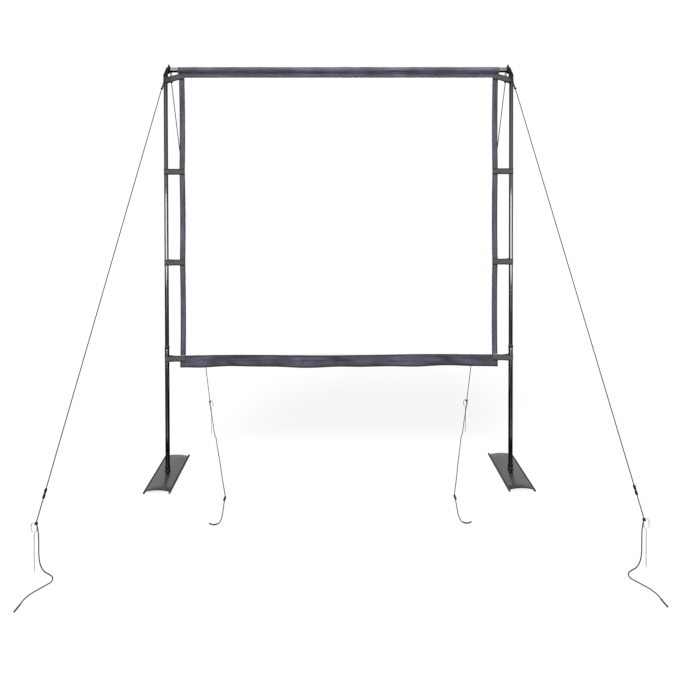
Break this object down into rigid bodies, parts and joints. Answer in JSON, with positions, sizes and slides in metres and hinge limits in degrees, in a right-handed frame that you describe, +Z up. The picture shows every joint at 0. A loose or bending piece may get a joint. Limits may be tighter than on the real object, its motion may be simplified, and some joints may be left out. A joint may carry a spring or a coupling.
{
  "type": "free-standing projection screen",
  "caption": "White fabric projection screen stretched between two telescopic poles on arched steel feet, with a sleeve on a top bar, webbing straps, and guy ropes to ring-top pegs.",
  "frame": {"origin": "on the floor, midway between the two poles, under the screen", "axes": "+Z up, +X to the right of someone looking at the white face, which looks towards -Y"},
  "size_m": [2.334, 1.5326, 2.0508],
  "materials": {
    "gloss_black": "glossy black powder coat on steel tube",
    "satin_grey": "satin grey coat on steel sheet",
    "black_plastic": "moulded black nylon",
    "pale_plastic": "pale grey nylon",
    "rubber": "dark grey extruded rubber",
    "steel": "zinc-plated steel",
    "white_fabric": "matt white woven polyester",
    "grey_fabric": "dark grey woven polyester border",
    "webbing": "dark grey hook-and-loop webbing",
    "rope": "dark braided polyester rope"
  },
  "bodies": {
    "stand": {"left_lower_pole": "gloss_black", "left_lock_collet": "pale_plastic", "left_front_rope": "rope", "left_front_peg": "steel", "left_back_rope": "rope", "left_back_peg": "steel", "right_lower_pole": "gloss_black", "right_lock_collet": "pale_plastic", "right_front_rope": "rope", "right_front_peg": "steel", "right_back_rope": "rope", "right_back_peg": "steel"},
    "mast": {"left_upper_pole": "gloss_black", "left_pole_plug": "black_plastic", "left_corner_elbow": "black_plastic", "left_rope_eye": "steel", "left_strap_1": "webbing", "left_strap_2": "webbing", "left_strap_3": "webbing", "left_strap_4": "webbing", "left_side_border": "grey_fabric", "left_top_bar": "gloss_black", "right_upper_pole": "gloss_black", "right_pole_plug": "black_plastic", "right_corner_elbow": "black_plastic", "right_rope_eye": "steel", "right_strap_1": "webbing", "right_strap_2": "webbing", "right_strap_3": "webbing", "right_strap_4": "webbing", "right_side_border": "grey_fabric", "right_top_bar": "gloss_black", "top_bar_spigot": "steel", "top_sleeve": "grey_fabric", "screen_fabric": "white_fabric", "bottom_hem": "grey_fabric"},
    "left_collar": {"left_lock_collar": "black_plastic"},
    "right_collar": {"right_lock_collar": "black_plastic"},
    "left_foot": {"left_foot_plate": "satin_grey", "left_foot_outer_strip": "rubber", "left_foot_inner_strip": "rubber", "left_foot_socket": "gloss_black", "left_foot_bolt": "steel", "left_foot_nut": "steel", "left_foot_screw": "steel"},
    "right_foot": {"right_foot_plate": "satin_grey", "right_foot_outer_strip": "rubber", "right_foot_inner_strip": "rubber", "right_foot_socket": "gloss_black", "right_foot_bolt": "steel", "right_foot_nut": "steel", "right_foot_screw": "steel"},
    "left_front_tensioner": {"left_front_slider": "black_plastic"},
    "left_back_tensioner": {"left_back_slider": "black_plastic"},
    "right_front_tensioner": {"right_front_slider": "black_plastic"},
    "right_back_tensioner": {"right_back_slider": "black_plastic"}
  },
  "joints": [
    {"name": "mast_height", "type": "slide", "parent": "stand", "child": "mast", "axis": [0, 0, 1], "range_m": [-0.32, 0]},
    {"name": "left_lock_twist", "type": "hinge", "parent": "stand", "child": "left_collar", "pos_m": [-0.862, 0, 0.635], "axis": [0, 0, 1], "range_deg": [0, 90]},
    {"name": "right_lock_twist", "type": "hinge", "parent": "stand", "child": "right_collar", "pos_m": [0.862, 0, 0.635], "axis": [0, 0, 1], "range_deg": [0, 90]},
    {"name": "left_foot_swivel", "type": "hinge", "parent": "stand", "child": "left_foot", "pos_m": [-0.862, 0, 0.03], "axis": [0, 0, 1], "range_deg": [-90, 90]},
    {"name": "right_foot_swivel", "type": "hinge", "parent": "stand", "child": "right_foot", "pos_m": [0.862, 0, 0.03], "axis": [0, 0, 1], "range_deg": [-90, 90]},
    {"name": "left_front_slide", "type": "slide", "parent": "stand", "child": "left_front_tensioner", "axis": [0.1476, 0.3898, 0.909], "range_m": [-0.05, 0.3]},
    {"name": "left_back_slide", "type": "slide", "parent": "stand", "child": "left_back_tensioner", "axis": [-0.0517, -0.2548, 0.9656], "range_m": [-0.2, 0.1]},
    {"name": "right_front_slide", "type": "slide", "parent": "stand", "child": "right_front_tensioner", "axis": [-0.1476, 0.3898, 0.909], "range_m": [-0.05, 0.3]},
    {"name": "right_back_slide", "type": "slide", "parent": "stand", "child": "right_back_tensioner", "axis": [0.0517, -0.2548, 0.9656], "range_m": [-0.2, 0.1]}
  ]
}
